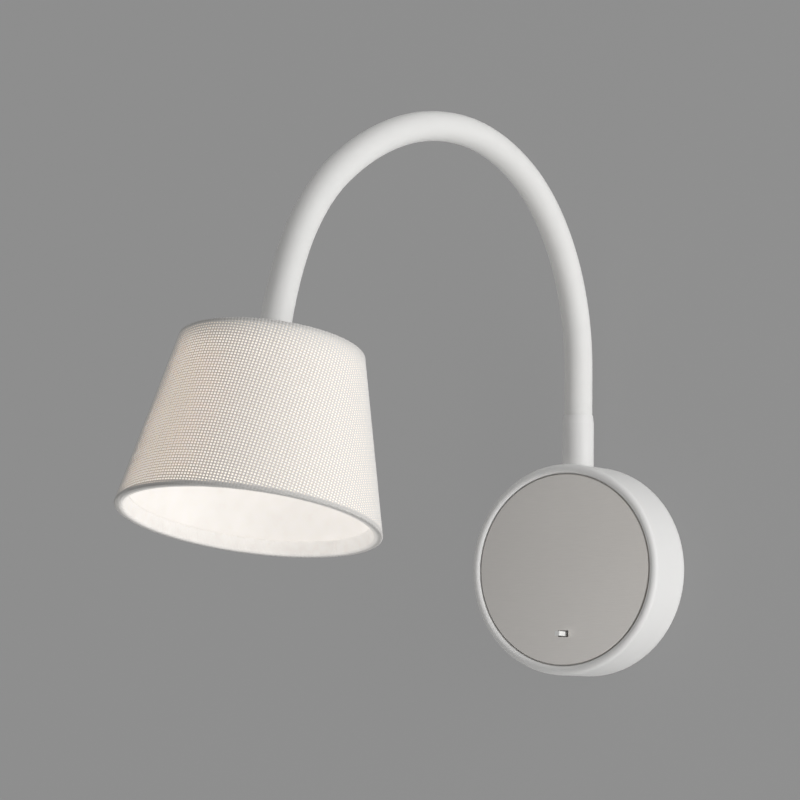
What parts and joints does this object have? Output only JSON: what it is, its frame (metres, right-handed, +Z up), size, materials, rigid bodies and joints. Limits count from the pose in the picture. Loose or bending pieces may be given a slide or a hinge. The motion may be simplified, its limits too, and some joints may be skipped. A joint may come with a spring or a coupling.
{
  "type": "wall reading lamp",
  "caption": "Bedside wall reading lamp with a round base, a flexible gooseneck arm, a tapered woven fabric shade and a slide switch in a nickel front disc.",
  "frame": {"origin": "middle of the round base, on the wall face, midway between the two wall screw slots", "axes": "+Y into the wall, the lamp stands out towards -Y, +Z up, +X to the right seen from the front"},
  "size_m": [0.1116, 0.3489, 0.2523],
  "materials": {
    "white_enamel": "satin powder coat",
    "satin_nickel": "fine brushed satin nickel",
    "zinc_steel": "zinc plated",
    "white_silicone": "matte smooth",
    "woven_fabric": "open basket weave",
    "white_liner": "translucent matte",
    "white_plastic": "soft gloss",
    "black_plastic": "fine moulded grain",
    "grey_plastic": "fine moulded grain",
    "brass_thread": "machined",
    "die_cast_aluminium": "as cast",
    "board_green": "solder mask",
    "board_white": "white solder mask",
    "phosphor": "phosphor",
    "opal_lens": "opal",
    "cable_white": "extruded",
    "cable_brown": "extruded",
    "cable_black": "extruded",
    "cable_blue": "extruded",
    "cable_earth": "green and yellow"
  },
  "bodies": {
    "root": {"wall_bracket": "zinc_steel", "cable_bush": "black_plastic", "base_housing": "white_enamel", "front_disc": "satin_nickel", "disc_nuts": "zinc_steel", "housing_grub_screws": "zinc_steel", "neck_ferrule": "white_enamel", "neck_nipple": "brass_thread", "neck_washer": "zinc_steel", "neck_nut": "zinc_steel", "driver_case": "grey_plastic", "driver_board": "board_green", "driver_lid": "grey_plastic", "bracket_screws": "zinc_steel", "terminal_block": "black_plastic", "terminal_screws": "brass_thread", "earth_screw": "brass_thread", "switch_body": "black_plastic", "switch_screws": "zinc_steel", "live_wire": "cable_brown", "switched_wire": "cable_black", "neutral_wire": "cable_blue", "earth_wire": "cable_earth", "neck_sleeve_1": "white_silicone", "neck_core_1": "zinc_steel", "lamp_lead_1": "cable_white"},
    "neck_2": {"neck_sleeve_2": "white_silicone", "neck_core_2": "zinc_steel", "lamp_lead_2": "cable_white"},
    "neck_3": {"neck_sleeve_3": "white_silicone", "neck_core_3": "zinc_steel", "lamp_lead_3": "cable_white"},
    "neck_4": {"neck_sleeve_4": "white_silicone", "neck_core_4": "zinc_steel", "lamp_lead_4": "cable_white"},
    "neck_5": {"neck_sleeve_5": "white_silicone", "neck_core_5": "zinc_steel", "lamp_lead_5": "cable_white"},
    "neck_6": {"neck_sleeve_6": "white_silicone", "neck_core_6": "zinc_steel", "lamp_lead_6": "cable_white"},
    "neck_7": {"neck_sleeve_7": "white_silicone", "neck_core_7": "zinc_steel", "lamp_lead_7": "cable_white"},
    "head": {"head_ferrule": "white_enamel", "head_nipple": "brass_thread", "shade_top_plate": "white_enamel", "heat_sink": "die_cast_aluminium", "led_board": "board_white", "led_emitters": "phosphor", "led_screws": "zinc_steel", "lens": "opal_lens", "fabric_shade": "woven_fabric", "shade_liner": "white_liner", "hem_ring": "zinc_steel", "neck_sleeve_8": "white_silicone", "neck_core_8": "zinc_steel", "lamp_lead_8": "cable_white"},
    "switch": {"switch_lever": "white_plastic"}
  },
  "joints": [
    {"name": "neck_bend_1", "type": "hinge", "parent": "root", "child": "neck_2", "pos_m": [0, -0.0132, 0.0965], "axis": [1, 0, 0], "range_deg": [-10, 15]},
    {"name": "neck_swing_2", "type": "hinge", "parent": "neck_2", "child": "neck_3", "pos_m": [0, -0.02869, 0.14879], "axis": [0, 0.8387, 0.5446], "range_deg": [-22, 22]},
    {"name": "neck_bend_3", "type": "hinge", "parent": "neck_3", "child": "neck_4", "pos_m": [0, -0.07016, 0.18421], "axis": [1, 0, 0], "range_deg": [-10, 15]},
    {"name": "neck_bend_4", "type": "hinge", "parent": "neck_4", "child": "neck_5", "pos_m": [0, -0.12386, 0.19563], "axis": [1, 0, 0], "range_deg": [-25, 12]},
    {"name": "neck_swing_5", "type": "hinge", "parent": "neck_5", "child": "neck_6", "pos_m": [0, -0.17825, 0.18701], "axis": [0, -0.309, 0.9511], "range_deg": [-22, 22]},
    {"name": "neck_bend_6", "type": "hinge", "parent": "neck_6", "child": "neck_7", "pos_m": [0, -0.22779, 0.16285], "axis": [1, 0, 0], "range_deg": [-25, 12]},
    {"name": "neck_bend_7", "type": "hinge", "parent": "neck_7", "child": "head", "pos_m": [0, -0.26412, 0.12193], "axis": [1, 0, 0], "range_deg": [-25, 12]},
    {"name": "switch_slide", "type": "slide", "parent": "root", "child": "switch", "axis": [1, 0, 0], "range_m": [-0.0016, 0.0016]}
  ],
  "couplings": [
    {"joint": "neck_bend_3", "follows": "neck_bend_1", "ratio": 1},
    {"joint": "neck_swing_5", "follows": "neck_swing_2", "ratio": 1},
    {"joint": "neck_bend_6", "follows": "neck_bend_4", "ratio": 1},
    {"joint": "neck_bend_7", "follows": "neck_bend_4", "ratio": 1}
  ]
}
